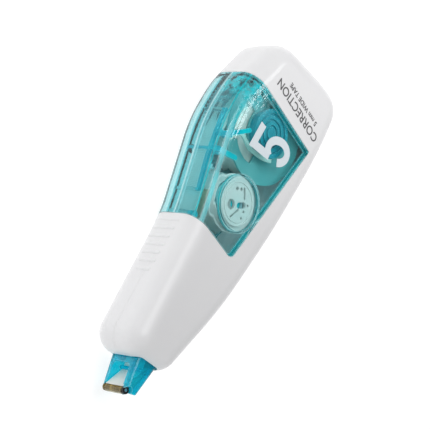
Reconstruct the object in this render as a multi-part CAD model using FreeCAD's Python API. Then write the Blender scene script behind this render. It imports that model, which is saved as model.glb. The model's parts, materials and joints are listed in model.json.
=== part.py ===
import FreeCAD, Part
import math
import os

# Correction tape roller, millimetres. The object lies on its far broad side.
# +X runs from the applicator tip to the tail, +Y to the finger-grip edge, +Z out of the near broad side.
# The origin is the centre of the footprint, on the surface that the object lies on.

V = FreeCAD.Vector
UP = V(0, 0, 1)

# ---- driving dimensions: case ----
THICK = 14.0            # overall thickness
MID = THICK / 2         # parting plane of the two half shells
EDGE = 4.4              # rounding of the broad faces into the narrow edge
WALL = 1.3              # white case wall
SKIN = 1.6              # clear cover wall
GAP = 0.12              # seam between the clear covers and the white case
# outline corners of the case: x, y, corner radius
TIP_TOP = (-37.9, 3.0, 4.7)
GRIP_BEND = (-5.9, 7.0, 36)
DOME = [(15.0, 14.9, 34), (25.6, 15.7, 33), (41.0, 13.1, 7.6)]
TAIL = [(44.5, -4.4, 30), (44.7, -12.4, 6)]
BELLY = [(30.9, -14.9, 80), (8.0, -15.65, 200), (-14.2, -14.7, 100)]
TIP_BOTTOM = (-35.1, -10.7, 4.7)
CASE = [TIP_TOP, GRIP_BEND, *DOME, *TAIL, *BELLY, TIP_BOTTOM]

# ---- driving dimensions: window ----
WIN_FRONT = -6.1
WIN_REAR = 28.2
WIN_LOW_FRONT = -7.4
WIN_LOW_REAR = -10.1
WIN_TIP_ROUND = 1.6
LIP_IN = 0.6            # ledge of the cover inside its own border
LIP_OUT = 1.5           # ledge of the cover under the white case
LIP_TOP = WALL + 0.1
LIP_LOW = 1.95

# ---- driving dimensions: grip ----
RIDGES = 7
RIDGE_FIRST = -7.6
RIDGE_PITCH = 2.05
RIDGE_RADIUS = 0.5
RIDGE_STAND = 0.22
RIDGE_LOW = 2.3
RIDGE_RISE = 0.4
RIDGE_HIGH = 9.2
RIDGE_DROP = 0.2

# ---- driving dimensions: sleeve and dowels ----
MOUTH_Y = (-9.1, -2.1)  # opening at the front of the sleeve
MOUTH_Z = 2.3           # height of the opening above the broad face
MOUTH_ROUND = 1.5
DOWELS = [(38.6, -8.6), (38.2, 8.4), (13.5, -12.5), (-15.0, -11.4)]
DOWEL_R = 0.7
DOWEL_DEPTH = 3.5
DOWEL_SOCKET_R = 0.72
DOWEL_BOSS_R = 1.25

# ---- driving dimensions: tape and reels ----
TAPE_LOW = 4.5
TAPE_HIGH = 9.5         # 5 mm wide tape, centred in the case
TAPE_THICK = 0.12
ROLL_R = 9.7
CORE_R = 4.4
SUPPLY = V(23.1, 1.1, 0)
MODULE = 0.3
SUPPLY_TEETH = 76
TAKE_UP_TEETH = 47
AXIS_DISTANCE = MODULE * (SUPPLY_TEETH + TAKE_UP_TEETH) / 2
TAKE_UP_DIR = 188.7     # direction from the supply reel to the take-up reel, degrees
TAKE_UP = V(SUPPLY.x + math.cos(math.radians(TAKE_UP_DIR)) * AXIS_DISTANCE,
            SUPPLY.y + math.sin(math.radians(TAKE_UP_DIR)) * AXIS_DISTANCE, 0)
DRUM_R = 6.1
FILM_R = 6.3
DRUM_TOP = 11.1
PLATE_LOW = 2.05
PLATE_HIGH = 2.85
GEAR_LOW = 3.1
GEAR_HIGH = 4.2
GEAR_SEAT_R = 3.6       # boss of each reel that its gear sits on
GEAR_STOP_R = 4.6       # raised ring of the frame under the supply gear
BOSS_HIGH = 4.4         # the reels widen to their drums here
FLANGE_R = 11.6         # near flange of the supply reel
FLANGE_LOW = 9.75
FLANGE_HIGH = 10.2
FLANGE_WINDOW_R = 7.5   # outer round of the crescent window in the flange
FLANGE_WINDOW_SHIFT = 1.9
DRUM_RIM_R = 6.5        # near rim of the take-up drum
DRUM_RIM_LOW = 9.65
DRUM_RIM_HIGH = 10.1
HUB_R = 5.0
HUB_TOP = 11.35         # top of the hub, under the cap
CAP_R = 5.5
CAP_LOW = HUB_TOP + 0.07
CAP_HIGH = 11.95
CAP_PLUG_R = 3.2
CAP_PLUG_DEPTH = 0.65
CAP_GROOVES = (1.4, 2.7, 4.0)
CAP_GROOVE_WIDTH = 0.5
COLLAR_R = 6.45         # ring wall inside the near cover, round the dial
COLLAR_WALL = 0.5
COLLAR_LOW = 11.5
DIAL_R = 4.95
DIAL_HIGH = 11.85
DIAL_SPIGOT_R = 4.5     # short tube under the dial that plugs into the drum
DIAL_SPIGOT_WALL = 0.6
DIAL_SPIGOT_DEPTH = 1.2
# openings of the dial, from its axis: slots are two ends and a width, holes a centre and a radius
DIAL_SLOTS = [((-0.1, -0.52), (0.95, -1.68), 1.35), ((-3.5, -0.22), (-0.95, -1.0), 0.45),
              ((3.75, 0.66), (2.15, -0.9), 0.55)]
DIAL_HOLES = [((-1.48, 1.54), 1.15), ((2.25, 2.4), 0.42), ((3.0, 1.35), 0.36), ((-0.05, -2.6), 0.3),
              ((1.75, -2.7), 0.3), ((-1.6, -3.0), 0.3)]
POST_R = 1.5
POST_SHORT = 0.15       # the posts end this far under the cap and the dial
BORE_R = 1.56

# ---- driving dimensions: inner plate ----
# outline corners of the plate: x, y, corner radius
PLATE = [(-24, 1.2, 1), (-8, 3.6, 4), (14, 13.4, 14), (26, 14.5, 20), (36.0, 11.5, 5),
         (36.6, -9.5, 3), (10, -10.6, 5), (-8, -8.3, 4), (-24, -7.2, 1)]
PLATE_EDGE = [(23.5, 12.2, 0), (12.7, 10.9, 20), (0.8, 5.9, 0)]     # strip that carries the pillars
PLATE_EDGE_WIDTH = 2.4
PLATE_SLOT = (-14, -5.6, 0, -3.2)                                   # x0, y0, x1, y1
SHOULDER_R = 2.4        # foot of each reel post
SHOULDER_HIGH = GEAR_LOW - 0.05

# ---- driving dimensions: spine bar of the frame and its ribs ----
SPINE_LOW = 9.0
SPINE_HIGH = 9.7
SPINE_WIDTH = 0.7
SPINE_PATH = [(18.8, 12.85, 0), (16.5, 12.4, 20), (12.7, 11.3, 20), (7.5, 9.62, 20), (0.8, 6.75, 0)]
PILLARS = [(18.6, 12.7, 0.45), (9.4, 10.6, 0.35), (0.9, 6.85, 0.4)]     # x, y, radius
RIB_HIGH = THICK - SKIN - 0.1
RIB_DEPTH = 0.6
RIB_WIDTH = 1.1
RIB_PATH = [(9.5, 10.9, 0), (10.1, 8.4, 12), (11.0, 6.2, 0)]
STAY_DEPTH = 0.28
STAY_WIDTH = 1.0
STAY_PATH = [(12.9, 11.5, 0), (18.4, 7.0, 0)]
RIB_ROOT = 1.3          # the ribs are deeper over this first length, where they rise from the spine

# ---- driving dimensions: tape guides ----
GUIDE_UP = V(10.4, 8.9, 0)
GUIDE_UP_R = 1.0
GUIDE_LOW = V(-4.2, 4.6, 0)
GUIDE_LOW_R = 0.8
STRAND_GAP = 0.05
BRAKE_PIN = V(13.9, 9.9, 0)
BRAKE_PIN_R = 0.5
BRAKE_FOOT = 1.6        # reach of the foot from the pin to the spine
BRAKE_FOOT_HIGH = 10.3
GUIDE_HIGH = 10.2
ARM_WIDTH = 0.9
ARM_EYE_R = 0.85
ARM_LOW = HUB_TOP + 0.1
ARM_PATH = [(BRAKE_PIN.x, BRAKE_PIN.y, 0), (16.6, 8.3, 1.8), (15.9, 3.6, 3.5)]
ARM_TURN = 5.0
HUG_START = 200         # directions from the hub between which the arm hugs it, degrees
HUG_END = 224

# ---- driving dimensions: applicator tip ----
HEAD_LOW = 2.85         # broad sides of the head where it leaves the case
HEAD_HIGH = 11.15
CHEEK_IN = 2.85         # half width of the tape channel between the cheeks
TAPE_BAR = V(-37.4, -6.0, 0)
TAPE_BAR_R = 0.4
FILM_BAR = V(-37.4, -7.25, 0)
FILM_BAR_R = 0.35
TIP = V(-42.8, -5.6, 0)
ROLLER_R = 0.8
ROLLER_LOW = 4.46
ROLLER_HIGH = THICK - ROLLER_LOW
AXLE_R = 0.35
BEARING_R = 0.85
BEARING_LOW = 3.95
BEARING_HIGH = THICK - BEARING_LOW
BEARING_THICK = 0.48
# sections across the head: x, low y, high y, low z, high z, corner radius
HEAD = [(-21.0, -9.0, 1.2, HEAD_LOW, HEAD_HIGH, 1.0), (-27.5, -8.95, 0.75, HEAD_LOW, HEAD_HIGH, 1.0),
        (-35.6, -8.85, -2.35, HEAD_LOW, HEAD_HIGH, 1.4), (-43.2, -8.1, -4.9, 3.4, 11.0, 0.9)]
# side outline that trims the nose, and the tape channel inside: x, y, corner radius
NOSE = [(-20, 5, 0), (-20, -12, 0), (-40.4, -9.4, 0), (-42.6, -7.5, 1.3), (-43.1, -6.1, 0), (-43.1, -5.2, 0),
        (-42.3, -3.9, 0.9), (-40.5, 5, 0)]
CHANNEL = [(-45.5, -3.2, 0), (-45.5, -8.2, 0), (-35.2, -8.15, 0), (-20.0, -8.3, 0), (-20.0, 0.4, 0),
           (-27.6, 0.05, 0), (-36.1, -2.98, 0), (-42.0, -4.6, 0), (-43.6, -4.3, 0)]
NOTCH_X = -37.7         # the top is open from here to the tip
NOTCH_LOW = -5.2
NOTCH_ROUND = 0.9
SLIT_X = (-37.5, -33.0)
SLIT_WIDTH = 0.3

PARTS = "parts"


def save(name, shape):
    """Write one sub-part to its own file."""
    shape = shape.removeSplitter()
    if not shape.isValid():
        raise ValueError(name + " is not valid")
    shape.exportStep(os.path.join(PARTS, name + ".step"))
    print(name, len(shape.Solids), round(shape.Volume, 2))


def at(x, y, z=0.0):
    return V(x, y, z)


def polar(centre, radius, degrees, z=0.0):
    a = math.radians(degrees)
    return V(centre.x + radius * math.cos(a), centre.y + radius * math.sin(a), z)


def inset(corners, depth):
    """Move every side of a clockwise outline inwards by depth, keeping the corners rounded."""
    count = len(corners)
    sides = []
    for i in range(count):
        a = V(*corners[i][:2], 0)
        b = V(*corners[(i + 1) % count][:2], 0)
        along = (b - a).normalize()
        inward = V(along.y, -along.x, 0)
        sides.append((a + inward * depth, along))
    moved = []
    for i in range(count):
        p, d = sides[i - 1]
        q, e = sides[i]
        cross = d.x * e.y - d.y * e.x
        t = ((q.x - p.x) * e.y - (q.y - p.y) * e.x) / cross
        corner = p + d * t
        convex = cross < 0
        radius = corners[i][2] - depth if convex else corners[i][2] + depth
        moved.append((corner.x, corner.y, max(radius, 0.0)))
    return moved


def path_edges(corners, closed):
    """Straight runs joined by tangent arcs. Each corner is x, y, radius."""
    count = len(corners)
    points = [V(c[0], c[1], 0) for c in corners]
    starts = []
    ends = []
    arcs = []
    for i in range(count):
        radius = corners[i][2]
        if radius <= 0 or (not closed and i in (0, count - 1)):
            starts.append(points[i])
            ends.append(points[i])
            arcs.append(None)
            continue
        back = (points[i - 1] - points[i]).normalize()
        ahead = (points[(i + 1) % count] - points[i]).normalize()
        half = back.getAngle(ahead) / 2
        reach = radius / math.tan(half)
        start = points[i] + back * reach
        end = points[i] + ahead * reach
        bisector = (back + ahead).normalize()
        centre = points[i] + bisector * (radius / math.sin(half))
        middle = centre - bisector * radius
        starts.append(start)
        ends.append(end)
        arcs.append(Part.Arc(start, middle, end).toShape())
    edges = []
    for i in range(count):
        if arcs[i] is not None:
            edges.append(arcs[i])
        if not closed and i == count - 1:
            break
        nxt = starts[(i + 1) % count]
        if (nxt - ends[i]).Length > 1e-6:
            edges.append(Part.LineSegment(ends[i], nxt).toShape())
    return edges


def prism(corners, low, high):
    """Upright solid on a closed outline of rounded corners."""
    wire = Part.Wire(path_edges(corners, True))
    face = Part.Face(wire)
    face.translate(V(0, 0, low))
    return face.extrude(V(0, 0, high - low))


def disc(centre, radius, low, high):
    return Part.makeCylinder(radius, high - low, V(centre.x, centre.y, low), UP)


def ring(centre, outer, inner, low, high):
    return disc(centre, outer, low, high).cut(disc(centre, inner, low - 1, high + 1))


def box(x0, y0, z0, x1, y1, z1):
    return Part.makeBox(x1 - x0, y1 - y0, z1 - z0, V(x0, y0, z0))


def pillow(depth):
    """Body of the case set in by depth: the outline with both broad faces rounded over."""
    corners = inset(CASE, depth)
    solid = prism(corners, depth, THICK - depth)
    rim = []
    for edge in solid.Edges:
        box_ = edge.BoundBox
        if box_.ZLength < 1e-6:
            rim.append(edge)
    return solid.makeFillet(EDGE - depth, rim)


def band(corners, width, low, high):
    """Flat strip of the given width, standing on an open path of rounded corners."""
    path = Part.Wire(path_edges(corners, False))
    start = path.Edges[0]
    a = start.valueAt(start.FirstParameter)
    direction = start.tangentAt(start.FirstParameter)
    if (path.OrderedVertexes[0].Point - a).Length > 1e-6:
        raise ValueError("path starts at the wrong end")
    side = V(-direction.y, direction.x, 0) * (width / 2)
    base = V(0, 0, low)
    top = V(0, 0, high)
    right = a - side
    left = a + side
    profile = Part.makePolygon([right + base, left + base, left + top, right + top, right + base])
    path.translate(base)
    return path.makePipeShell([profile], True, True)


def window(grow):
    """Upright block that cuts the window: front, lower and rear borders, open to the grip edge."""
    slope = (WIN_LOW_REAR - WIN_LOW_FRONT) / (WIN_REAR - WIN_FRONT)
    lift = grow * math.hypot(1, slope)
    front = WIN_FRONT - grow
    rear = WIN_REAR + grow
    low_front = WIN_LOW_FRONT - lift + slope * (front - WIN_FRONT)
    low_rear = WIN_LOW_FRONT - lift + slope * (rear - WIN_FRONT)
    corners = [
        (front, 40, 0),
        (rear, 40, 0),
        (rear, low_rear, max(0.5 + grow, 0.1)),
        (front, low_front, WIN_TIP_ROUND + grow),
    ]
    return prism(corners, -1, THICK + 1)


def grip_height(x):
    """Height of the straight grip edge at x."""
    rise = (GRIP_BEND[1] - TIP_TOP[1]) / (GRIP_BEND[0] - TIP_TOP[0])
    return TIP_TOP[1] + rise * (x - TIP_TOP[0])


def grip_ridges():
    """Shallow cross ridges on the grip edge, shorter towards the tip, turning down with its far rounding."""
    ridges = []
    turn = EDGE + RIDGE_STAND - RIDGE_RADIUS
    for i in range(RIDGES):
        x = RIDGE_FIRST - i * RIDGE_PITCH
        low = RIDGE_LOW + i * RIDGE_RISE
        high = RIDGE_HIGH - i * RIDGE_DROP
        centre_y = grip_height(x) - EDGE
        straight_low = V(x, centre_y + turn, max(low, EDGE))
        straight_high = V(x, centre_y + turn, high)
        edges = [Part.LineSegment(straight_low, straight_high).toShape()]
        end = straight_low
        if low < EDGE:
            angle = math.asin((EDGE - low) / turn)
            end = V(x, centre_y + turn * math.cos(angle), low)
            middle = V(x, centre_y + turn * math.cos(angle / 2), EDGE - turn * math.sin(angle / 2))
            edges.insert(0, Part.Arc(end, middle, straight_low).toShape())
        path = Part.Wire(edges)
        profile = Part.Wire(Part.makeCircle(RIDGE_RADIUS, end, edges[0].tangentAt(edges[0].FirstParameter)))
        ridges.append(path.makePipeShell([profile], True, True))
        for place in (end, straight_high):
            ridges.append(Part.makeSphere(RIDGE_RADIUS, place))
    return ridges


def mouth():
    """Opening at the front of the sleeve, with a rounded section."""
    hole = box(-46, MOUTH_Y[0], MOUTH_Z, -30, MOUTH_Y[1], THICK - MOUTH_Z)
    along = [e for e in hole.Edges if e.BoundBox.XLength > 10]
    return hole.makeFillet(MOUTH_ROUND, along)


def white_case():
    body = pillow(0).fuse(grip_ridges())
    body = body.cut(pillow(WALL))
    body = body.cut(window(0))
    return body.cut(mouth())


def half_shells():
    body = white_case()
    lower = body.common(box(-60, -40, -5, 60, 40, MID))
    upper = body.common(box(-60, -40, MID, 60, 40, 20))
    for x, y in DOWELS:
        p = at(x, y)
        lower = lower.fuse(disc(p, DOWEL_BOSS_R, WALL - 0.3, MID - 0.1).common(pillow(0.4)))
        lower = lower.cut(disc(p, DOWEL_SOCKET_R, MID - DOWEL_DEPTH - 0.5, MID + 1))
        upper = upper.fuse(disc(p, DOWEL_R, MID - DOWEL_DEPTH, THICK - WALL + 0.3))
        upper = upper.fuse(disc(p, DOWEL_BOSS_R, MID, THICK - WALL + 0.3).common(pillow(0.4)))
    return lower, upper


def cover_body():
    """Clear cover: flush skin in the window, with a thin ledge that runs on under the white case."""
    skin = pillow(0).cut(pillow(SKIN)).common(window(-GAP))
    ledge = pillow(LIP_TOP).cut(pillow(LIP_LOW))
    ledge = ledge.common(window(LIP_OUT).cut(window(-GAP - LIP_IN)))
    return skin.fuse(ledge)


def lower_cover():
    cover = cover_body().common(box(-60, -40, -5, 60, 40, MID - 0.02))
    return cover


def upper_cover():
    cover = cover_body().common(box(-60, -40, MID + 0.02, 60, 40, 20))
    inner = THICK - SKIN
    return cover.fuse(ring(TAKE_UP, COLLAR_R, COLLAR_R - COLLAR_WALL, COLLAR_LOW, inner + 0.3))


def bar_rib(path, width, depth):
    """Flat rib close under the near cover, deeper where it rises from the spine, with a rounded end."""
    first = V(*path[0])
    last = V(*path[-1])
    along = (V(*path[1][:2], 0) - V(*path[0][:2], 0)).normalize()
    root_end = first + along * RIB_ROOT
    root = band([path[0], (root_end.x, root_end.y, 0)], width, SPINE_HIGH - 0.05, RIB_HIGH)
    flat = band(path, width, RIB_HIGH - depth, RIB_HIGH)
    end = disc(last, width / 2, RIB_HIGH - depth, RIB_HIGH)
    return root.fuse([flat, end])


def spine():
    """Bar along the grip edge on three pillars, with two ribs that reach in over the reels."""
    bar = band(SPINE_PATH, SPINE_WIDTH, SPINE_LOW, SPINE_HIGH)
    pillars = [disc(at(x, y), radius, PLATE_LOW, SPINE_HIGH) for x, y, radius in PILLARS]
    ribs = [bar_rib(RIB_PATH, RIB_WIDTH, RIB_DEPTH), bar_rib(STAY_PATH, STAY_WIDTH, STAY_DEPTH)]
    whole = bar.fuse([*pillars, *ribs]).common(pillow(SKIN + 0.1))
    return whole.cut(disc(BRAKE_PIN, ARM_EYE_R + 0.15, SPINE_HIGH + 0.1, CAP_HIGH + 0.05))


def frame_plate():
    """Inner plate with the reel posts, the tape guides, the spine and the tongue in the sleeve."""
    plate = prism(PLATE, PLATE_LOW, PLATE_HIGH)
    edge = band(PLATE_EDGE, PLATE_EDGE_WIDTH, PLATE_LOW, PLATE_HIGH)
    guides = [disc(GUIDE_UP, GUIDE_UP_R, PLATE_LOW, GUIDE_HIGH),
              disc(GUIDE_LOW, GUIDE_LOW_R, PLATE_LOW, GUIDE_HIGH)]
    frame = plate.fuse([edge, *guides]).common(pillow(LIP_LOW + 0.1))
    left = BRAKE_PIN.x - BRAKE_PIN_R
    right = BRAKE_PIN.x + BRAKE_PIN_R
    back = BRAKE_PIN.y + BRAKE_FOOT
    foot = box(left, BRAKE_PIN.y - 0.3, SPINE_HIGH - 0.05, right, back, BRAKE_FOOT_HIGH)
    root = box(left, back - 0.3, SPINE_HIGH - 0.8, right, back, BRAKE_FOOT_HIGH)
    frame = frame.fuse([spine(), foot, root, disc(BRAKE_PIN, BRAKE_PIN_R, SPINE_HIGH - 0.05, CAP_HIGH)])
    for axis, top in ((SUPPLY, HUB_TOP), (TAKE_UP, DRUM_TOP)):
        frame = frame.fuse([disc(axis, POST_R, PLATE_LOW, top - POST_SHORT),
                            disc(axis, SHOULDER_R, PLATE_LOW, SHOULDER_HIGH)])
    frame = frame.fuse(ring(SUPPLY, GEAR_STOP_R, GEAR_SEAT_R + 0.2, PLATE_LOW, SHOULDER_HIGH))
    x0, y0, x1, y1 = PLATE_SLOT
    return frame.cut(box(x0, y0, 0, x1, y1, PLATE_HIGH + 1))


def brake_arm():
    """S-shaped spring arm that hugs the supply hub and steadies it."""
    hug_r = CAP_R + 0.12 + ARM_WIDTH / 2
    hug_start = polar(SUPPLY, hug_r, HUG_START)
    hug_end = polar(SUPPLY, hug_r, HUG_END)
    path = [*ARM_PATH, (hug_start.x, hug_start.y, ARM_TURN), (hug_end.x, hug_end.y, 0)]
    arm = band(path, ARM_WIDTH, ARM_LOW, CAP_HIGH)
    eye = disc(BRAKE_PIN, ARM_EYE_R, ARM_LOW, CAP_HIGH)
    arm = arm.fuse(eye).cut(disc(SUPPLY, CAP_R + 0.1, 0, THICK))
    return arm.cut(disc(BRAKE_PIN, BRAKE_PIN_R, 0, THICK))


def involute_gear(centre, teeth, low, high, bore, phase):
    """Spur gear with involute flanks. phase is the angle of the middle of one tooth."""
    pitch_r = MODULE * teeth / 2
    base_r = pitch_r * math.cos(math.radians(20))
    tip_r = pitch_r + 0.9 * MODULE
    root_r = pitch_r - 1.2 * MODULE
    backlash = 0.09
    half_at_pitch = math.degrees((math.pi * MODULE / 2 - backlash) / 2 / pitch_r)
    inv20 = math.tan(math.radians(20)) - math.radians(20)

    def half_angle(radius):
        if radius <= base_r:
            return half_at_pitch + math.degrees(inv20)
        pressure = math.acos(base_r / radius)
        return half_at_pitch + math.degrees(inv20 - (math.tan(pressure) - pressure))

    low_r = max(base_r, root_r)
    mid_r = (low_r + tip_r) / 2
    edges = []
    step = 360.0 / teeth
    for i in range(teeth):
        a = phase + i * step
        flank_a = [polar(centre, r, a - half_angle(r), low) for r in (low_r, mid_r, tip_r)]
        flank_b = [polar(centre, r, a + half_angle(r), low) for r in (tip_r, mid_r, low_r)]
        root_a = polar(centre, root_r, a - half_angle(low_r), low)
        root_b = polar(centre, root_r, a + half_angle(low_r), low)
        nxt = polar(centre, root_r, a + step - half_angle(low_r), low)
        if (root_a - flank_a[0]).Length > 1e-4:
            edges.append(Part.LineSegment(root_a, flank_a[0]).toShape())
        edges.append(Part.Arc(*flank_a).toShape())
        edges.append(Part.LineSegment(flank_a[2], flank_b[0]).toShape())
        edges.append(Part.Arc(*flank_b).toShape())
        if (root_b - flank_b[2]).Length > 1e-4:
            edges.append(Part.LineSegment(flank_b[2], root_b).toShape())
        edges.append(Part.LineSegment(root_b, nxt).toShape())
    face = Part.Face(Part.Wire(edges))
    return face.extrude(V(0, 0, high - low)).cut(disc(centre, bore, low - 1, high + 1))


def spoke_holes(centre, count, at_radius, hole_radius, start):
    """Ring of round lightening holes."""
    middles = [polar(centre, at_radius, start + 360.0 * i / count) for i in range(count)]
    return [disc(middle, hole_radius, 0, THICK) for middle in middles]


def supply_gear():
    """Large gear, loose on the reel's boss, driven through the clutch washer."""
    gear = involute_gear(SUPPLY, SUPPLY_TEETH, GEAR_LOW, GEAR_HIGH, GEAR_SEAT_R + 0.06, TAKE_UP_DIR)
    return gear.cut(spoke_holes(SUPPLY, 6, 7.7, 2.0, 30))


def take_up_gear():
    phase = TAKE_UP_DIR + 180 + 180.0 / TAKE_UP_TEETH
    return involute_gear(TAKE_UP, TAKE_UP_TEETH, GEAR_LOW, GEAR_HIGH, GEAR_SEAT_R, phase)


def crescent():
    """Crescent window beside the hub, through which the tape roll shows."""
    big = disc(polar(SUPPLY, FLANGE_WINDOW_SHIFT, 128), FLANGE_WINDOW_R, 0, THICK)
    moon = big.cut(disc(SUPPLY, HUB_R + 0.9, 0, THICK))
    corners = [(0, 0, 0), (4, 20, 0), (-20, 20, 0), (-20, -2, 0)]
    sector = prism(corners, 0, THICK)
    sector.translate(SUPPLY)
    return moon.common(sector)


def supply_reel():
    """Reel of fresh tape: boss for the gear, tape core, wide near flange and hub."""
    reel = disc(SUPPLY, FLANGE_R, FLANGE_LOW, FLANGE_HIGH).cut(crescent())
    reel = reel.fuse([disc(SUPPLY, GEAR_SEAT_R, GEAR_LOW, BOSS_HIGH),
                      disc(SUPPLY, CORE_R, BOSS_HIGH, FLANGE_LOW),
                      disc(SUPPLY, HUB_R, FLANGE_HIGH, HUB_TOP)])
    reel = reel.cut(disc(SUPPLY, CAP_PLUG_R, HUB_TOP - CAP_PLUG_DEPTH, THICK))
    return reel.cut(disc(SUPPLY, BORE_R, 0, THICK))


def supply_hub_cap():
    """Cup-shaped cap over the hub, with three round grooves in its face."""
    cap = disc(SUPPLY, CAP_R, CAP_LOW, CAP_HIGH)
    skirt = ring(SUPPLY, CAP_R, HUB_R + 0.03, FLANGE_HIGH + 0.03, CAP_LOW)
    plug = ring(SUPPLY, CAP_PLUG_R, BORE_R + 0.2, HUB_TOP - CAP_PLUG_DEPTH, CAP_LOW)
    seat = ring(SUPPLY, HUB_R - 0.3, BORE_R + 0.2, HUB_TOP, CAP_LOW)
    cap = cap.fuse([skirt, plug, seat])
    for radius in CAP_GROOVES:
        cap = cap.cut(ring(SUPPLY, radius + CAP_GROOVE_WIDTH, radius, CAP_HIGH - 0.3, CAP_HIGH + 1))
    return cap


def take_up_reel():
    """Open drum that winds up the bare film, with a boss for the small gear."""
    reel = disc(TAKE_UP, GEAR_SEAT_R, GEAR_LOW, BOSS_HIGH)
    reel = reel.fuse([disc(TAKE_UP, DRUM_R, GEAR_HIGH, DRUM_TOP),
                      disc(TAKE_UP, DRUM_RIM_R, DRUM_RIM_LOW, DRUM_RIM_HIGH)])
    hollow = ring(TAKE_UP, DIAL_SPIGOT_R, 2.4, BOSS_HIGH + 0.6, THICK)
    return reel.cut(hollow).cut(disc(TAKE_UP, BORE_R, 0, THICK))


def slot_hole(start, end, width, low, high):
    """Round-ended slot from start to end, measured from the dial's axis."""
    a = TAKE_UP + V(*start, 0)
    b = TAKE_UP + V(*end, 0)
    middle = band([(a.x, a.y, 0), (b.x, b.y, 0)], width, low, high)
    return middle.fuse([disc(a, width / 2, low, high), disc(b, width / 2, low, high)])


def take_up_dial():
    """Round face that closes the drum, with its finger hole, key slots and a shallow round lip."""
    below = DRUM_TOP - 0.1
    spigot_in = DIAL_SPIGOT_R - DIAL_SPIGOT_WALL
    dial = disc(TAKE_UP, DIAL_R, DRUM_TOP, DIAL_HIGH)
    dial = dial.fuse(ring(TAKE_UP, DIAL_SPIGOT_R, spigot_in, DRUM_TOP - DIAL_SPIGOT_DEPTH, DRUM_TOP))
    cuts = [slot_hole(start, end, width, below, THICK) for start, end, width in DIAL_SLOTS]
    cuts += [disc(TAKE_UP + V(*middle, 0), radius, below, THICK) for middle, radius in DIAL_HOLES]
    cuts.append(ring(TAKE_UP, DIAL_R - 0.35, DIAL_R - 0.75, DIAL_HIGH - 0.2, THICK))
    return dial.cut(cuts)


def clutch_washer():
    """Split spring washer between the supply gear and the reel."""
    washer = ring(SUPPLY, CORE_R - 0.05, GEAR_SEAT_R + 0.05, GEAR_HIGH + 0.02, BOSS_HIGH - 0.02)
    gap = box(SUPPLY.x - 0.5, SUPPLY.y - 9, GEAR_LOW, SUPPLY.x + 0.5, SUPPLY.y, FLANGE_LOW)
    return washer.cut(gap)


def tape_roll():
    return ring(SUPPLY, ROLL_R, CORE_R, TAPE_LOW - 0.1, TAPE_HIGH)


def film_roll():
    return ring(TAKE_UP, FILM_R, DRUM_R, TAPE_LOW - 0.1, TAPE_HIGH)


def tangent(c1, r1, c2, r2, side1, side2):
    """Ends of the line that touches circle 1 on side1 and circle 2 on side2 (+1 is left of travel)."""
    d = c2 - c1
    length = math.hypot(d.x, d.y)
    along = math.atan2(d.y, d.x)
    a = along - math.asin((side1 * r1 - side2 * r2) / length)
    normal = V(-math.sin(a), math.cos(a), 0)
    return c1 + normal * (side1 * r1), c2 + normal * (side2 * r2)


def arc_between(centre, start, end, degrees_mid):
    radius = (start - centre).Length
    return Part.Arc(start, polar(centre, radius, degrees_mid), end).toShape()


def ribbon(edges):
    """Thin flat band, one tape thick and 5 mm wide, along a path in the plane of the reels."""
    path = Part.Wire(edges)
    a = path.Edges[0].valueAt(path.Edges[0].FirstParameter)
    t = path.Edges[0].tangentAt(path.Edges[0].FirstParameter)
    side = V(-t.y, t.x, 0) * (TAPE_THICK / 2)
    low = V(0, 0, TAPE_LOW)
    high = V(0, 0, TAPE_HIGH)
    right = a - side
    left = a + side
    profile = Part.makePolygon([right + low, left + low, left + high, right + high, right + low])
    path.translate(low)
    return path.makePipeShell([profile], True, True)


def tape_strand():
    """Fresh tape from the supply roll over the upper guide, under the lower guide, to the tip roller."""
    off = STRAND_GAP + TAPE_THICK / 2
    roll_r = ROLL_R + off
    up_r = GUIDE_UP_R + off
    low_r = GUIDE_LOW_R + off
    bar_r = TAPE_BAR_R + off
    tip_r = ROLLER_R + off
    a, b = tangent(SUPPLY, roll_r, GUIDE_UP, up_r, -1, -1)
    c, d = tangent(GUIDE_UP, up_r, GUIDE_LOW, low_r, -1, 1)
    e, f = tangent(GUIDE_LOW, low_r, TAPE_BAR, bar_r, 1, 1)
    g, h = tangent(TAPE_BAR, bar_r, TIP, tip_r, 1, -1)
    edges = [
        Part.LineSegment(a, b).toShape(),
        arc_between(GUIDE_UP, b, c, 103),
        Part.LineSegment(c, d).toShape(),
        arc_between(GUIDE_LOW, d, e, 289),
        Part.LineSegment(e, f).toShape(),
        arc_between(TAPE_BAR, f, g, 276),
        Part.LineSegment(g, h).toShape(),
    ]
    return ribbon(edges)


def film_strand():
    """Bare film that turns round the tip roller and runs back to the take-up drum."""
    off = STRAND_GAP + TAPE_THICK / 2
    tip_r = ROLLER_R + off
    drum_r = FILM_R + off
    bar_r = FILM_BAR_R + off
    a, b = tangent(TIP, tip_r, FILM_BAR, bar_r, -1, -1)
    c, d = tangent(FILM_BAR, bar_r, TAKE_UP, drum_r, -1, 1)
    start = polar(TIP, tip_r, 104)
    edges = [
        arc_between(TIP, start, a, 190),
        Part.LineSegment(a, b).toShape(),
        arc_between(FILM_BAR, b, c, 278),
        Part.LineSegment(c, d).toShape(),
    ]
    return ribbon(edges)


def head_section(x, low_y, high_y, low_z, high_z, radius):
    """Rounded rectangle across the head at x."""
    corners = [(low_y, low_z, radius), (low_y, high_z, radius),
               (high_y, high_z, radius), (high_y, low_z, radius)]
    wire = Part.Wire(path_edges(corners, True))
    turned = FreeCAD.Matrix(0, 0, 1, x, 1, 0, 0, 0, 0, 1, 0, 0, 0, 0, 0, 1)
    return wire.transformGeometry(turned)


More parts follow.
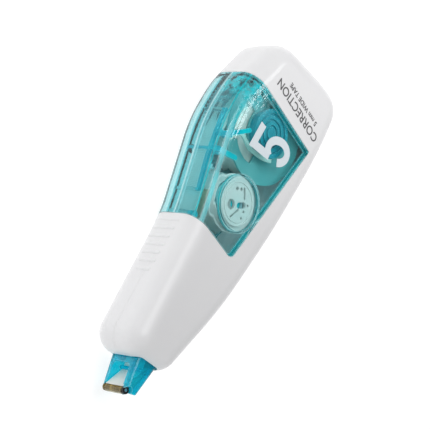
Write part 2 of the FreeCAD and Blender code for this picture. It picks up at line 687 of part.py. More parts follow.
def tip_head():
    """Clear applicator head: tapered trough, cheeks that carry the roller, and a shank in the sleeve."""
    block = Part.makeLoft([head_section(*section) for section in HEAD], True, True)
    block = block.common(prism(NOSE, 0, THICK))
    low = MID - CHEEK_IN
    high = MID + CHEEK_IN
    channel = prism(CHANNEL, low, high)
    bars = [disc(TAPE_BAR, TAPE_BAR_R, low, high), disc(FILM_BAR, FILM_BAR_R, low, high)]
    block = block.cut(channel).fuse(bars)
    notch = box(-46, NOTCH_LOW, low + 0.3, NOTCH_X, 0, high - 0.3)
    rear = [e for e in notch.Edges if e.BoundBox.YLength > 5 and e.BoundBox.XMin > -40]
    notch = notch.makeFillet(NOTCH_ROUND, rear)
    slit = box(SLIT_X[0], -3.2, low, SLIT_X[1], 0, low + SLIT_WIDTH)
    seats = [disc(TIP, BEARING_R, 0, BEARING_LOW + BEARING_THICK + 0.1),
             disc(TIP, BEARING_R, BEARING_HIGH - BEARING_THICK - 0.1, THICK),
             disc(TIP, ROLLER_R + 0.35, BEARING_LOW + BEARING_THICK, BEARING_HIGH - BEARING_THICK)]
    return block.cut([notch, slit, *seats])


def far_bush():
    return ring(TIP, BEARING_R, AXLE_R + 0.06, BEARING_LOW, BEARING_LOW + BEARING_THICK)


def near_bush():
    return ring(TIP, BEARING_R, AXLE_R + 0.06, BEARING_HIGH - BEARING_THICK, BEARING_HIGH)


def tip_roller():
    return ring(TIP, ROLLER_R, AXLE_R, ROLLER_LOW, ROLLER_HIGH)


def roller_axle():
    return disc(TIP, AXLE_R, BEARING_LOW + 0.05, BEARING_HIGH - 0.05)


def main():
    os.makedirs(PARTS, exist_ok=True)
    lower, upper = half_shells()
    save("case_lower_shell", lower)
    save("case_upper_shell", upper)
    save("window_lower_cover", lower_cover())
    save("window_upper_cover", upper_cover())
    save("cartridge_frame", frame_plate())
    save("brake_arm", brake_arm())
    save("tip_head", tip_head())
    save("supply_reel", supply_reel())
    save("supply_hub_cap", supply_hub_cap())
    save("tape_roll", tape_roll())
    save("clutch_washer", clutch_washer())
    save("supply_gear", supply_gear())
    save("take_up_reel", take_up_reel())
    save("take_up_dial", take_up_dial())
    save("take_up_gear", take_up_gear())
    save("film_roll", film_roll())
    save("tape_strand", tape_strand())
    save("film_strand", film_strand())
    save("tip_bush_far", far_bush())
    save("tip_bush_near", near_bush())
    save("tip_roller", tip_roller())
    save("roller_axle", roller_axle())


main()
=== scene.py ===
import json
import math

import bmesh
import bpy
from mathutils import Matrix, Vector


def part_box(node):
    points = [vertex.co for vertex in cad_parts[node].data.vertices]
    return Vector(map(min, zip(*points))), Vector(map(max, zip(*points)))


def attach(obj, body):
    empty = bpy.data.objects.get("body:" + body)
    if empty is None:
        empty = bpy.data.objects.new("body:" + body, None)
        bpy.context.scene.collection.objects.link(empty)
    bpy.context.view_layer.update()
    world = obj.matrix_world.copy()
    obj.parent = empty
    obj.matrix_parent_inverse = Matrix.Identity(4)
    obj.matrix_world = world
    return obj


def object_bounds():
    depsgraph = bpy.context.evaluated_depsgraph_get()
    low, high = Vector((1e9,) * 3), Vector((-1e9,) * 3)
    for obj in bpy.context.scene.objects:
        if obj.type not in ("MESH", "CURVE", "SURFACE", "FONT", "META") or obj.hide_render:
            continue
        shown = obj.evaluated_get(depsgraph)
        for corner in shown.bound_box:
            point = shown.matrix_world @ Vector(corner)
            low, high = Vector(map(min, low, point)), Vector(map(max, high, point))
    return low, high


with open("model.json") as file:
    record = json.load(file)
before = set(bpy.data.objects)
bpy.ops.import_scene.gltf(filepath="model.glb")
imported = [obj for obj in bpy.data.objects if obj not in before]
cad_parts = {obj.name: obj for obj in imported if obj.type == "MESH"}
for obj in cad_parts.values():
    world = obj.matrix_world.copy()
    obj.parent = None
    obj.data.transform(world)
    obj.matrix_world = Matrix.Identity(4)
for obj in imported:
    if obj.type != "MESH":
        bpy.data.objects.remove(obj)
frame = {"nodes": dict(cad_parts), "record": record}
cad_low, cad_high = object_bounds()

MM = 0.001
NODES = frame["nodes"]
SLOT_OF = {entry["node"]: entry["material_slot"] for entry in frame["record"]["subparts"]}

# ---------------------------------------------------------------- places


def centre_of(node):
    low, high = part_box(node)
    return (low + high) / 2


NEAR_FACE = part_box("case_upper_shell")[1].z
SUPPLY = centre_of("supply_hub_cap")
TAKE_UP = centre_of("take_up_dial")
# upright axes, of which only x and y count
CROSS_PILLAR = (9.4 * MM, 10.6 * MM, 0.0)          # the spine bar's pillar where a rib crosses
CRINKLES = (27.0 * MM, 14.0 * MM, 0.0)             # the near cover's corner towards the tail
DIAL_KEY = TAKE_UP + Vector((1.05, -1.9, 0)) * MM
DIAL_HOLE = TAKE_UP + Vector((-1.6, 1.7, 0)) * MM

# bands of height above the floor: (height in mm, value) stops
BETWEEN_FACES = [(1.65, 0.0), (1.9, 1.0), (11.9, 1.0), (12.0, 0.0)]   # side walls, ring wall
PARTING_LINE = [(6.6, 0.0), (6.8, 0.8), (7.2, 0.8), (7.4, 0.0)]       # where the two covers meet
LEDGE = [(11.95, 0.0), (12.0, 1.0), (12.3, 1.0), (12.35, 0.0)]        # under the near half shell
SPINE_BAR = [(8.7, 0.0), (8.95, 1.0)]                                 # the bar and its ribs

# ---------------------------------------------------------------- shader helpers

MIX_SHARE, MIX_A, MIX_B = 0, 6, 7       # input sockets of a colour Mix node
MIX_RESULT = 2
BEVEL_SAMPLES = 4
EDGE_STOPS = [(0.80, 1.0), (0.985, 0.0)]    # by how far the rounded normal turns at an edge


def srgb(r, g, b):
    """Display colour, 0 to 255, as the linear colour that the shaders take."""
    out = []
    for v in (r, g, b):
        v = v / 255.0
        out.append(v / 12.92 if v <= 0.04045 else ((v + 0.055) / 1.055) ** 2.4)
    return (*out, 1.0)


class Shader:
    """A material's node tree, with short ways to add the nodes that the finishes share."""

    def __init__(self, name):
        self.mat = bpy.data.materials.new(name)
        self.mat.use_nodes = True
        self.nodes = self.mat.node_tree.nodes
        self.links = self.mat.node_tree.links
        self.nodes.clear()
        self.out = self.nodes.new("ShaderNodeOutputMaterial")
        self.where = self.nodes.new("ShaderNodeTexCoord").outputs["Object"]

    def add(self, kind, **values):
        node = self.nodes.new(kind)
        for key, value in values.items():
            setattr(node, key, value)
        return node

    def feed(self, socket, value):
        """Link another node's output to a socket, or set the socket to a plain value."""
        if isinstance(value, bpy.types.NodeSocket):
            self.links.new(value, socket)
        else:
            socket.default_value = value

    def math(self, operation, a, b=0.0):
        node = self.add("ShaderNodeMath", operation=operation)
        self.feed(node.inputs[0], a)
        self.feed(node.inputs[1], b)
        return node.outputs[0]

    def vector(self, operation, a, b=(0, 0, 0), output="Vector"):
        node = self.add("ShaderNodeVectorMath", operation=operation)
        self.feed(node.inputs[0], a)
        self.feed(node.inputs[1], b)
        return node.outputs[output]

    def noise(self, size_mm, detail=3.0, rough=0.5, stretch=(1, 1, 1)):
        """Noise whose features are about size_mm across."""
        scale = self.add("ShaderNodeMapping")
        self.feed(scale.inputs["Scale"], [s / (size_mm * MM) for s in stretch])
        self.feed(scale.inputs["Vector"], self.where)
        node = self.add("ShaderNodeTexNoise")
        self.feed(node.inputs["Scale"], 1.0)
        self.feed(node.inputs["Detail"], detail)
        self.feed(node.inputs["Roughness"], rough)
        self.feed(node.inputs["Vector"], scale.outputs[0])
        return node.outputs["Fac"]

    def ramp(self, value, stops):
        """Value to number or colour, by (position, colour or number) stops."""
        node = self.add("ShaderNodeValToRGB")
        elements = node.color_ramp.elements
        while len(elements) < len(stops):
            elements.new(0.5)
        for element, (position, colour) in zip(elements, stops):
            element.position = position
            plain = not hasattr(colour, "__len__")
            element.color = (colour, colour, colour, 1) if plain else colour
        self.feed(node.inputs["Fac"], value)
        return node.outputs["Color"]

    def blend(self, share, a, b):
        """Colour a where share is 0, b where it is 1."""
        node = self.add("ShaderNodeMix", data_type="RGBA")
        self.feed(node.inputs[MIX_SHARE], share)
        self.feed(node.inputs[MIX_A], a)
        self.feed(node.inputs[MIX_B], b)
        return node.outputs[MIX_RESULT]

    def bump(self, height, depth_mm, strength=1.0, normal=None):
        node = self.add("ShaderNodeBump")
        self.feed(node.inputs["Strength"], strength)
        self.feed(node.inputs["Distance"], depth_mm * MM)
        self.feed(node.inputs["Height"], height)
        if normal is not None:
            self.feed(node.inputs["Normal"], normal)
        return node.outputs["Normal"]

    def rounded(self, radius_mm):
        """Normal that turns smoothly over the surface's sharp edges."""
        node = self.add("ShaderNodeBevel", samples=BEVEL_SAMPLES)
        self.feed(node.inputs["Radius"], radius_mm * MM)
        return node.outputs[0]

    def edges(self, radius_mm):
        """1 on the surface's sharp edges, 0 on open faces."""
        flat = self.add("ShaderNodeNewGeometry").outputs["Normal"]
        turn = self.vector("DOT_PRODUCT", self.rounded(radius_mm), flat, "Value")
        return self.ramp(turn, EDGE_STOPS)

    def height(self, stops):
        """Value by height above the floor, by (height in mm, value) stops up to the near face."""
        split = self.add("ShaderNodeSeparateXYZ")
        self.feed(split.inputs[0], self.where)
        share = self.math("MULTIPLY", split.outputs["Z"], 1.0 / NEAR_FACE)
        return self.ramp(share, [(mm * MM / NEAR_FACE, value) for mm, value in stops])

    def radius_from(self, centre):
        """Distance from an upright axis, in metres."""
        moved = self.vector("SUBTRACT", self.where, centre)
        flat = self.vector("MULTIPLY", moved, (1, 1, 0))
        return self.vector("LENGTH", flat, output="Value")

    def near(self, centre, radius_mm):
        """1 within a radius of an upright axis, 0 beyond it."""
        gap = self.math("SUBTRACT", radius_mm * MM, self.radius_from(centre))
        return self.math("GREATER_THAN", gap, 0.0)

    def less(self, clarity, mask, cloud):
        """Clarity with a number times mask taken off."""
        return self.math("SUBTRACT", clarity, self.math("MULTIPLY", mask, cloud))

    def principled(self, **values):
        node = self.add("ShaderNodeBsdfPrincipled")
        for key, value in values.items():
            self.feed(node.inputs[key.replace("_", " ")], value)
        return node.outputs[0]

    def surface(self, shader):
        self.feed(self.out.inputs["Surface"], shader)
        return self.mat


# ---------------------------------------------------------------- kinds of finish

PLASTIC_IOR = 1.5
CLEAR_IOR = 1.45
TAPE_IOR = 1.45
COAT_ROUGHNESS = 0.12
SCATTER = 1.2 * MM          # how far light spreads inside white plastic
EDGE_ROUNDING_MM = 0.15
WEAR_AND_HIGHLIGHT_WIDTH_MM = 0.22
WEAR_GLOSS = 0.15           # added roughness on rubbed edges
SCUFF_GLOSS = 0.08          # in scuffs
SCRATCH_GLOSS = 0.10        # in scratches of clear plastic
PILLAR_RADIUS_MM = 0.8
GLINT_VEIN_CLOUD = 0.4            # how much clarity goes in veins, which carry a painted highlight
LEDGE_CLOUD = 0.45          # on the ledge
RIM_CLOUD = 0.7             # on rims and the parting line
VEIN_DEPTH_MM = 0.16
RIPPLE_PITCH = 0.45         # size of a surface ripple, as a share of a flow mark's
TARNISH_GLOSS = 0.2
RING_DEPTH_MM = 0.01        # turned rings
TURN_DEPTH_MM = 0.02        # edges of wound tape
TURN_WOBBLE = 0.25          # in turns
INK_ROUGHNESS = 0.35
SPECK_GLOSS = 0.25
SPECK_DEPTH_MM = 0.004
FLOOR_GREYS = (0.44, 0.44, 0.44, 1), (0.46, 0.46, 0.46, 1)
FLOOR_GLOW = 0.75


def moulded(name, light, dark, rough, grain_mm=0.25, grain_depth=0.006, patch_mm=9.0, coat=0.0,
            wear_and_highlight=None, soft=0.0, spots=()):
    """Opaque moulded plastic: faint flow marks, uneven gloss, fine grain, and rubbed edges, whose
    lighter tint is partly wear and partly a painted highlight.
    spots are round areas of another colour: centre, radius in mm, colour."""
    s = Shader(name)
    flow = s.noise(patch_mm, 4, 0.55, (1, 1.6, 1))
    colour = s.blend(flow, light, dark)
    for centre, radius_mm, tint in spots:
        colour = s.blend(s.near(centre, radius_mm), colour, s.blend(flow, tint, dark))
    scuff = s.ramp(s.noise(1.3, 6, 0.65, (1, 4, 1)), [(0.52, 0.0), (0.60, 1.0)])
    gloss = s.math("ADD", s.math("MULTIPLY", scuff, SCUFF_GLOSS), rough)
    # lighter edges: partly rubbed wear, partly a painted highlight
    if wear_and_highlight is not None:
        uneven = s.ramp(s.noise(0.9, 3), [(0.35, 0.2), (0.7, 1.0)])
        mask = s.math("MULTIPLY", s.edges(WEAR_AND_HIGHLIGHT_WIDTH_MM), uneven)
        colour = s.blend(mask, colour, wear_and_highlight)
        gloss = s.math("ADD", s.math("MULTIPLY", mask, WEAR_GLOSS), gloss)
    normal = s.bump(s.noise(grain_mm, 3), grain_depth, normal=s.rounded(EDGE_ROUNDING_MM))
    values = dict(Base_Color=colour, Roughness=gloss, Normal=normal, IOR=PLASTIC_IOR,
                  Coat_Weight=coat, Coat_Roughness=COAT_ROUGHNESS)
    if soft:
        values.update(Subsurface_Weight=soft, Subsurface_Radius=(SCATTER, SCATTER, SCATTER),
                      Subsurface_Scale=1.0)
    return s.surface(s.principled(**values))


def clear(name, light, dark, shade, rough=0.03, ripple_mm=7.0, ripple_depth=0.05, rim=None,
          rim_mm=0.16, through=1.0, pale=None, wall=None, ledge=None, crinkle_and_glint=None):
    """Clear tinted plastic: the tint varies with the flow, and the surface has fine ripples and
    scratches. shade is the tint of the light that passes through it, rim the tint of its edges,
    which are milky and carry a painted highlight, and through its clarity. pale is the tint below
    the spine bar, which is fully clear, wall the tint between the broad faces, darker and greyer
    than the faces as painted shade, and ledge the tint of the border under the near half shell.
    crinkle is a round area - centre, radius in mm, tint - where the moulding has strong flow
    ripples, and veins whose paler teal tint is a painted highlight."""
    s = Shader(name)
    flow = s.noise(ripple_mm, 4, 0.6)
    colour = s.blend(s.ramp(flow, [(0.35, 0.0), (0.65, 1.0)]), light, dark)
    clarity = through
    # painted shade: the walls between the broad faces are tinted darker and greyer than the faces
    if wall is not None:
        colour = s.blend(s.height(BETWEEN_FACES), colour, wall)
    if pale is not None:
        bar = s.math("MAXIMUM", s.height(SPINE_BAR), s.near(CROSS_PILLAR, PILLAR_RADIUS_MM))
        colour = s.blend(bar, pale, colour)
        clarity = s.less(1.0, bar, 1.0 - through)
    # painted highlight: paler teal, milky veins in this area; the ripples further down are bumps
    if crinkle_and_glint is not None:
        centre, radius_mm, glint_tint = crinkle_and_glint
        gap = s.math("MULTIPLY", s.radius_from(centre), 1.0 / (radius_mm * MM))
        fade = s.ramp(gap, [(0.4, 1.0), (1.0, 0.0)])
        streaks = s.ramp(s.noise(1.5, 3, 0.55), [(0.46, 0.0), (0.56, 1.0)])
        glint_veins = s.math("MULTIPLY", streaks, fade)
        colour = s.blend(glint_veins, colour, glint_tint)
        clarity = s.less(clarity, glint_veins, GLINT_VEIN_CLOUD)
    if ledge is not None:
        border = s.height(LEDGE)
        colour = s.blend(border, colour, ledge)
        clarity = s.less(clarity, border, LEDGE_CLOUD)
    scratch = s.ramp(s.noise(0.35, 5, 0.7, (1, 9, 1)), [(0.62, 0.0), (0.70, 1.0)])
    gloss = s.math("ADD", s.math("MULTIPLY", scratch, SCRATCH_GLOSS), rough)
    # painted highlight: the edges and the parting line are made milky and pale, standing in for
    # the bright lines they catch
    if rim is not None:
        mask = s.edges(rim_mm)
        if wall is not None:
            mask = s.math("MAXIMUM", mask, s.height(PARTING_LINE))
        colour = s.blend(mask, colour, rim)
        milky = s.math("MULTIPLY", mask, RIM_CLOUD)
        clarity = s.less(clarity, milky, clarity)
    normal = s.bump(s.noise(ripple_mm * RIPPLE_PITCH, 2), ripple_depth)
    if crinkle_and_glint is not None:
        waves = s.math("MULTIPLY", s.noise(1.6, 2, 0.5, (1.0, 1.8, 1.0)), fade)
        normal = s.bump(waves, VEIN_DEPTH_MM, normal=normal)
    glass = s.principled(Base_Color=colour, Roughness=gloss, Normal=normal, IOR=CLEAR_IOR,
                         Transmission_Weight=clarity)
    # shadow and diffuse rays pass straight through, tinted, so that the inside is lit
    pass_through = s.add("ShaderNodeBsdfTransparent")
    s.feed(pass_through.inputs["Color"], shade)
    rays = s.add("ShaderNodeLightPath").outputs
    both = s.add("ShaderNodeMixShader")
    s.feed(both.inputs[0], s.math("MAXIMUM", rays["Is Shadow Ray"], rays["Is Diffuse Ray"]))
    s.feed(both.inputs[1], glass)
    s.feed(both.inputs[2], pass_through.outputs[0])
    return s.surface(both.outputs[0])


def metal(name, light, dark, rough, turn_mm):
    """Turned metal: fine rings and dark bands along the axle, with tarnish."""
    s = Shader(name)
    tarnish = s.noise(0.6, 4, 0.6)
    colour = s.blend(tarnish, light, dark)
    bands = s.ramp(s.noise(0.7, 2, 0.5, (0.05, 0.05, 1)), [(0.45, 0.0), (0.55, 0.75)])
    colour = s.blend(bands, colour, dark)
    lines = s.noise(turn_mm, 2, 0.5, (0.15, 0.15, 1))
    gloss = s.math("ADD", s.math("MULTIPLY", s.noise(0.4, 4), TARNISH_GLOSS), rough)
    normal = s.bump(lines, RING_DEPTH_MM, 0.6)
    return s.surface(s.principled(Base_Color=colour, Roughness=gloss, Normal=normal,
                                  Metallic=1.0, Anisotropic=0.5))


def wound(name, light, dark, centre, pitch_mm, rough=0.55):
    """Wound tape: its edges show as fine rings round the reel, and its face as paper."""
    s = Shader(name)
    radius = s.radius_from(centre)
    wobble = s.math("MULTIPLY", s.noise(2.5, 3), TURN_WOBBLE)
    turns = s.math("ADD", s.math("MULTIPLY", radius, 1.0 / (pitch_mm * MM)), wobble)
    wave = s.math("SINE", s.math("MULTIPLY", turns, 2 * math.pi))
    layer = s.math("ADD", s.math("MULTIPLY", wave, 0.5), 0.5)
    uneven = s.ramp(s.noise(3.0, 3), [(0.3, 0.3), (0.7, 1.0)])
    colour = s.blend(s.math("MULTIPLY", layer, uneven), light, dark)
    normal = s.bump(layer, TURN_DEPTH_MM, 0.7)
    return s.surface(s.principled(Base_Color=colour, Roughness=rough, Normal=normal,
                                  IOR=TAPE_IOR))


def ink(name, light, dark):
    """Printed ink: specks of a darker tone, slightly uneven."""
    s = Shader(name)
    speck = s.noise(0.12, 4, 0.7)
    colour = s.blend(s.ramp(speck, [(0.3, 0.0), (0.75, 1.0)]), light, dark)
    normal = s.bump(s.noise(0.08, 2), SPECK_DEPTH_MM)
    gloss = s.math("ADD", s.math("MULTIPLY", speck, SPECK_GLOSS), INK_ROUGHNESS)
    return s.surface(s.principled(Base_Color=colour, Roughness=gloss, Normal=normal))


def floor_paper(name):
    """Pale matt paper that glows a little, so that its own shadows stay faint."""
    s = Shader(name)
    paper = s.blend(s.noise(60, 2), *FLOOR_GREYS)
    ground = s.add("ShaderNodeBsdfDiffuse")
    s.feed(ground.inputs["Color"], paper)
    glow = s.add("ShaderNodeEmission")
    s.feed(glow.inputs["Strength"], FLOOR_GLOW)
    total = s.add("ShaderNodeAddShader")
    s.feed(total.inputs[0], ground.outputs[0])
    s.feed(total.inputs[1], glow.outputs[0])
    return s.surface(total.outputs[0])


# ---------------------------------------------------------------- finishes of the CAD pieces

EDGE_GLINT = srgb(200, 246, 250)
HOLE_SHADE = srgb(30, 74, 78)        # painted shade on the drum's floor under the dial's hole; the next tint is the floor under its key
KEY_TINT = srgb(0, 150, 172)

FINISH = {
    "white_case": moulded(
        "white_case", srgb(240, 240, 241), srgb(234, 234, 236), rough=0.34,
        grain_mm=0.22, grain_depth=0.004, patch_mm=14.0,
        coat=0.2, wear_and_highlight=srgb(250, 250, 250), soft=0.08),
    "clear_cyan": clear(
        "clear_cyan", srgb(222, 251, 251), srgb(200, 246, 247), srgb(252, 255, 255),
        rim=EDGE_GLINT, rim_mm=0.3, wall=srgb(122, 202, 210), ledge=srgb(30, 206, 216),
        crinkle_and_glint=(CRINKLES, 9.0, srgb(60, 226, 236))),
    "clear_far": clear(
        "clear_far", srgb(244, 254, 254), srgb(228, 251, 252), srgb(250, 255, 255),
        rim=EDGE_GLINT, rim_mm=0.3, wall=srgb(132, 208, 215)),
    "frame_cyan": clear(
        "frame_cyan", srgb(0, 232, 244), srgb(0, 200, 220), srgb(200, 246, 250), rough=0.05,
        ripple_mm=4.0, ripple_depth=0.04,
        rim=srgb(150, 246, 250), through=0.35, pale=srgb(238, 251, 251)),
    "clear_blue": clear(
        "clear_blue", srgb(34, 222, 242), srgb(0, 196, 224), srgb(190, 242, 250), rough=0.06,
        ripple_mm=3.0, ripple_depth=0.05, rim=srgb(170, 238, 250), through=0.7),
    "pale_arm": moulded(
        "pale_arm", srgb(206, 240, 234), srgb(186, 228, 222), rough=0.4,
        grain_mm=0.2, grain_depth=0.004, patch_mm=4.0, soft=0.2),
    "black_bush": moulded(
        "black_bush", srgb(26, 26, 28), srgb(14, 14, 16), rough=0.45,
        grain_mm=0.1, grain_depth=0.004, patch_mm=2.0),
    "brass_roller": metal(
        "brass_roller", srgb(206, 182, 116), srgb(86, 72, 42), rough=0.28, turn_mm=0.12),
    "steel_pin": metal(
        "steel_pin", srgb(225, 226, 228), srgb(190, 192, 196), rough=0.25, turn_mm=0.1),
    # its much paler edge tint is a painted highlight
    "reel_plastic": moulded(
        "reel_plastic", srgb(106, 192, 194), srgb(88, 172, 178), rough=0.35,
        grain_mm=0.2, grain_depth=0.004, patch_mm=5.0, wear_and_highlight=srgb(190, 214, 214)),
    # its much paler edge tint is a painted highlight
    "teal_cap": moulded(
        "teal_cap", srgb(0, 176, 194), srgb(0, 142, 164), rough=0.3,
        grain_mm=0.2, grain_depth=0.004, patch_mm=3.0, wear_and_highlight=srgb(120, 220, 230)),
    "white_tape": wound(
        "white_tape", srgb(246, 246, 242), srgb(216, 218, 214), SUPPLY, pitch_mm=0.30),
    # its paler edge tint is a painted highlight
    "grey_gear": moulded(
        "grey_gear", srgb(134, 184, 190), srgb(110, 162, 172), rough=0.42,
        grain_mm=0.2, grain_depth=0.005, patch_mm=5.0, wear_and_highlight=srgb(205, 215, 215)),
    "drum_core": moulded(
        "drum_core", srgb(236, 240, 240), srgb(222, 230, 229), rough=0.38,
        grain_mm=0.2, grain_depth=0.004, patch_mm=4.0,
        # the spot under the hole is painted shade
        spots=((DIAL_HOLE, 1.6, HOLE_SHADE), (DIAL_KEY, 1.9, KEY_TINT))),
    "drum_white": moulded(
        "drum_white", srgb(244, 247, 246), srgb(230, 236, 235), rough=0.38,
        grain_mm=0.2, grain_depth=0.004, patch_mm=4.0, wear_and_highlight=srgb(252, 252, 252), soft=0.15),
    "wound_film": wound(
        "wound_film", srgb(244, 247, 246), srgb(228, 234, 232), TAKE_UP, pitch_mm=0.30,
        rough=0.4),
    "film": clear(
        "film", srgb(240, 238, 222), srgb(230, 228, 206), srgb(246, 246, 240), rough=0.12,
        ripple_mm=2.0, ripple_depth=0.02),
}
# nodes whose finish differs from the other nodes of their slot
FINISH_OF = {"take_up_reel": "drum_core", "window_lower_cover": "clear_far"}
for node_name, slot_name in SLOT_OF.items():
    piece = NODES[node_name]
    if not piece.material_slots:
        piece.data.materials.append(None)
    for slot in piece.material_slots:
        slot.link = "OBJECT"
        slot.material = FINISH[FINISH_OF.get(node_name, slot_name)]

# ---------------------------------------------------------------- printed marks

INK_LOW = NEAR_FACE + 0.004 * MM
INK_HIGH = NEAR_FACE + 0.05 * MM
STROKE_SINK = 0.002 * MM    # each further stroke reaches a little lower and higher,
STROKE_RISE = 0.01 * MM     # so that no two of their faces lie in one plane
SHARPEST_CORNER = 0.45      # keeps a corner's point from running out too far
white_ink = ink("white_ink", srgb(232, 240, 244), srgb(212, 226, 234))
grey_ink = ink("grey_ink", srgb(96, 96, 98), srgb(66, 66, 68))


def stroke_mesh(name, strokes, width, low, high):
    """Pen strokes of even width along lists of points, as closed plates between two heights."""
    bm = bmesh.new()
    for lift, points in enumerate(strokes):
        count = len(points)
        left, right = [], []
        for i in range(count):
            after = points[min(i + 1, count - 1)] - points[min(i, count - 2)]
            before = points[max(i, 1)] - points[max(i - 1, 0)]
            middle = (before.normalized() + after.normalized()).normalized()
            reach = width / 2 / max(middle.dot(before.normalized()), SHARPEST_CORNER)
            side = Vector((-middle.y, middle.x)) * reach
            left.append(points[i] + side)
            right.append(points[i] - side)
        ring = left + right[::-1]
        bottom = [bm.verts.new((p.x, p.y, low - lift * STROKE_SINK)) for p in ring]
        top = [bm.verts.new((p.x, p.y, high + lift * STROKE_RISE)) for p in ring]
        total = len(ring)
        for i in range(total):
            j = (i + 1) % total
            bm.faces.new((bottom[i], bottom[j], top[j], top[i]))
        for i in range(count - 1):
            j = total - 1 - i
            bm.faces.new((top[i], top[i + 1], top[j - 1], top[j]))
            bm.faces.new((bottom[j], bottom[j - 1], bottom[i + 1], bottom[i]))
    bmesh.ops.recalc_face_normals(bm, faces=bm.faces)
    mesh = bpy.data.meshes.new(name)
    bm.to_mesh(mesh)
    bm.free()
    piece = bpy.data.objects.new(name, mesh)
    bpy.context.scene.collection.objects.link(piece)
    return piece


def arc(centre, rx, ry, start, end, steps, lean=0.0):
    """Points along part of an ellipse that leans sideways, angles in degrees."""
    out = []
    for i in range(steps + 1):
        a = math.radians(start + (end - start) * i / steps)
        rise = ry * math.sin(a)
        out.append(Vector((centre[0] + rx * math.cos(a) + lean * rise, centre[1] + rise)))
    return out


# width of the tape, printed on the near cover, in mm on the near face
DIGIT_BAR = [Vector((21.75, 5.5)), Vector((16.4, 5.05)), Vector((17.95, -0.6))]
DIGIT_BOWL = (20.6, -2.0)
DIGIT_BOWL_RX = 2.55
DIGIT_BOWL_RY = 3.1
DIGIT_LEAN = -0.226     # sideways lean per unit of height
DIGIT_START = 150
DIGIT_END = -151
DIGIT_STEPS = 32
DIGIT_STROKE = 1.85
bowl = arc(DIGIT_BOWL, DIGIT_BOWL_RX, DIGIT_BOWL_RY, DIGIT_START, DIGIT_END, DIGIT_STEPS,
           DIGIT_LEAN)
digit = stroke_mesh("width_digit", [
    [p * MM for p in DIGIT_BAR],
    [p * MM for p in bowl],
], DIGIT_STROKE * MM, INK_LOW, INK_HIGH)
digit.data.materials.append(white_ink)
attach(digit, "case")

# generic words on the tail, which read along one direction and stand up along the other
WORDS_ALONG = Vector((0.02, 1, 0))
WORDS_UP = Vector((-1, 0.02, 0))
WORDS_MIDDLE = NEAR_FACE + 0.03 * MM
WORDS_THICK = 0.02 * MM
WORDS_BOLD = 0.02 * MM


def lettering(name, text, size_mm, middle, material):
    """Generic printed words, laid flat on the near face round a middle point in mm."""
    curve = bpy.data.curves.new(name, "FONT")
    curve.body = text
    curve.size = size_mm * MM
    curve.extrude = WORDS_THICK
    curve.offset = WORDS_BOLD
    curve.align_x = "CENTER"
    curve.align_y = "CENTER"
    words = bpy.data.objects.new(name, curve)
    bpy.context.scene.collection.objects.link(words)
    x = WORDS_ALONG.normalized()
    y = WORDS_UP.normalized()
    z = x.cross(y)
    words.matrix_world = Matrix((
        (x.x, y.x, z.x, middle[0] * MM),
        (x.y, y.y, z.y, middle[1] * MM),
        (x.z, y.z, z.z, WORDS_MIDDLE),
        (0, 0, 0, 1),
    ))
    bpy.context.view_layer.update()
    drawn = words.evaluated_get(bpy.context.evaluated_depsgraph_get())
    mesh = bpy.data.meshes.new_from_object(drawn)
    mesh.transform(words.matrix_world)
    bpy.data.objects.remove(words)
    piece = bpy.data.objects.new(name, mesh)
    piece.data.materials.clear()
    piece.data.materials.append(material)
    bpy.context.scene.collection.objects.link(piece)
    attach(piece, "case")


lettering("print_line_large", "CORRECTION", 2.9, (31.9, -0.5), grey_ink)
lettering("print_line_small", "5 mm WIDE TAPE", 1.65, (34.25, -1.0), grey_ink)

# ---------------------------------------------------------------- floor

FLOOR_SIZE = 6.0
FLOOR_GAP = 0.02 * MM
bpy.ops.mesh.primitive_plane_add(size=FLOOR_SIZE, location=(0, 0, cad_low.z - FLOOR_GAP))
floor = bpy.context.object
floor.name = "floor"
floor.data.materials.append(floor_paper("floor"))

# ---------------------------------------------------------------- light

# even white, with a darker patch low on the belly side that takes the glare off the window
PATCH_HEADING = (0.46, -0.57, 0.68)
PATCH_OUTER, PATCH_INNER = 0.80, 0.95       # cosines of the angles where it starts and is full
SKY_STRENGTH = 0.55
PATCH_STRENGTH = 0.10

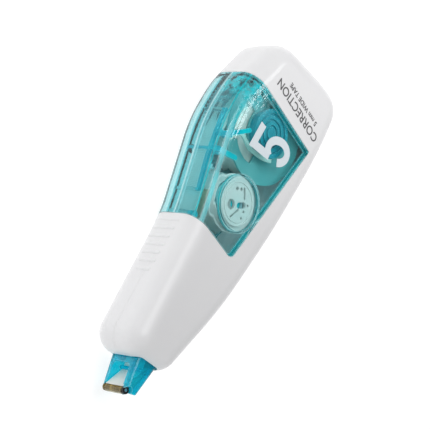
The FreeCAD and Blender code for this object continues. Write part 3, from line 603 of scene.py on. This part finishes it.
world = bpy.data.worlds.new("studio")
bpy.context.scene.world = world
world.use_nodes = True
new_node = world.node_tree.nodes.new
new_link = world.node_tree.links.new
sky = world.node_tree.nodes["Background"]
sky.inputs["Color"].default_value = (1, 1, 1, 1)
heading = new_node("ShaderNodeTexCoord")
facing = new_node("ShaderNodeVectorMath")
facing.operation = "DOT_PRODUCT"
facing.inputs[1].default_value = PATCH_HEADING
fall = new_node("ShaderNodeMapRange")
fall.inputs["From Min"].default_value = PATCH_OUTER
fall.inputs["From Max"].default_value = PATCH_INNER
fall.inputs["To Min"].default_value = SKY_STRENGTH
fall.inputs["To Max"].default_value = PATCH_STRENGTH
new_link(heading.outputs["Generated"], facing.inputs[0])
new_link(facing.outputs["Value"], fall.inputs["Value"])
new_link(fall.outputs[0], sky.inputs["Strength"])


def lamp(name, direction, distance, size, power, aim=(0, 0, 0), spread=180):
    """Soft rectangular lamp that looks at aim from a direction, with its cone in degrees."""
    data = bpy.data.lights.new(name, "AREA")
    data.shape = "RECTANGLE"
    data.size, data.size_y = size
    data.energy = power
    data.spread = math.radians(spread)
    obj = bpy.data.objects.new(name, data)
    bpy.context.scene.collection.objects.link(obj)
    d = Vector(direction).normalized()
    obj.location = Vector(aim) + d * distance
    obj.rotation_mode = "QUATERNION"
    obj.rotation_quaternion = d.to_track_quat("Z", "Y")


lamp("key", direction=(0.12, 0.36, 0.92), distance=0.6, size=(0.35, 0.30), power=0.95)
lamp("rim", direction=(0.10, 0.90, 0.35), distance=0.6, size=(0.30, 0.15), power=0.08)
lamp("tail_fill", direction=(0.04, -0.026, 0.09), distance=0.11, size=(0.04, 0.04),
     power=0.0078, aim=(0.050, -0.004, 0.014), spread=80)

# ---------------------------------------------------------------- camera

SENSOR_MM = 36.0
LENS_MM = 120.4
CLIP_START = 0.01
CAMERA_RIGHT = Vector((0.4829, -0.4841, 0.7297))
CAMERA_UP = Vector((0.7436, 0.6668, -0.0498))
CAMERA_BACK = Vector((-0.4624, 0.5667, 0.6819))
CAMERA_AT = Vector((-0.1424, 0.1744, 0.2201))

camera_data = bpy.data.cameras.new("camera")
camera_data.sensor_width = SENSOR_MM
camera_data.lens = LENS_MM
camera_data.clip_start = CLIP_START
camera = bpy.data.objects.new("camera", camera_data)
bpy.context.scene.collection.objects.link(camera)
columns = (CAMERA_RIGHT, CAMERA_UP, CAMERA_BACK, CAMERA_AT)
camera.matrix_world = Matrix((
    [column.x for column in columns],
    [column.y for column in columns],
    [column.z for column in columns],
    (0, 0, 0, 1),
))
bpy.context.scene.camera = camera
bpy.context.scene.view_settings.view_transform = "Standard"

# ---------------------------------------------------------------- scene update

bpy.context.view_layer.update()
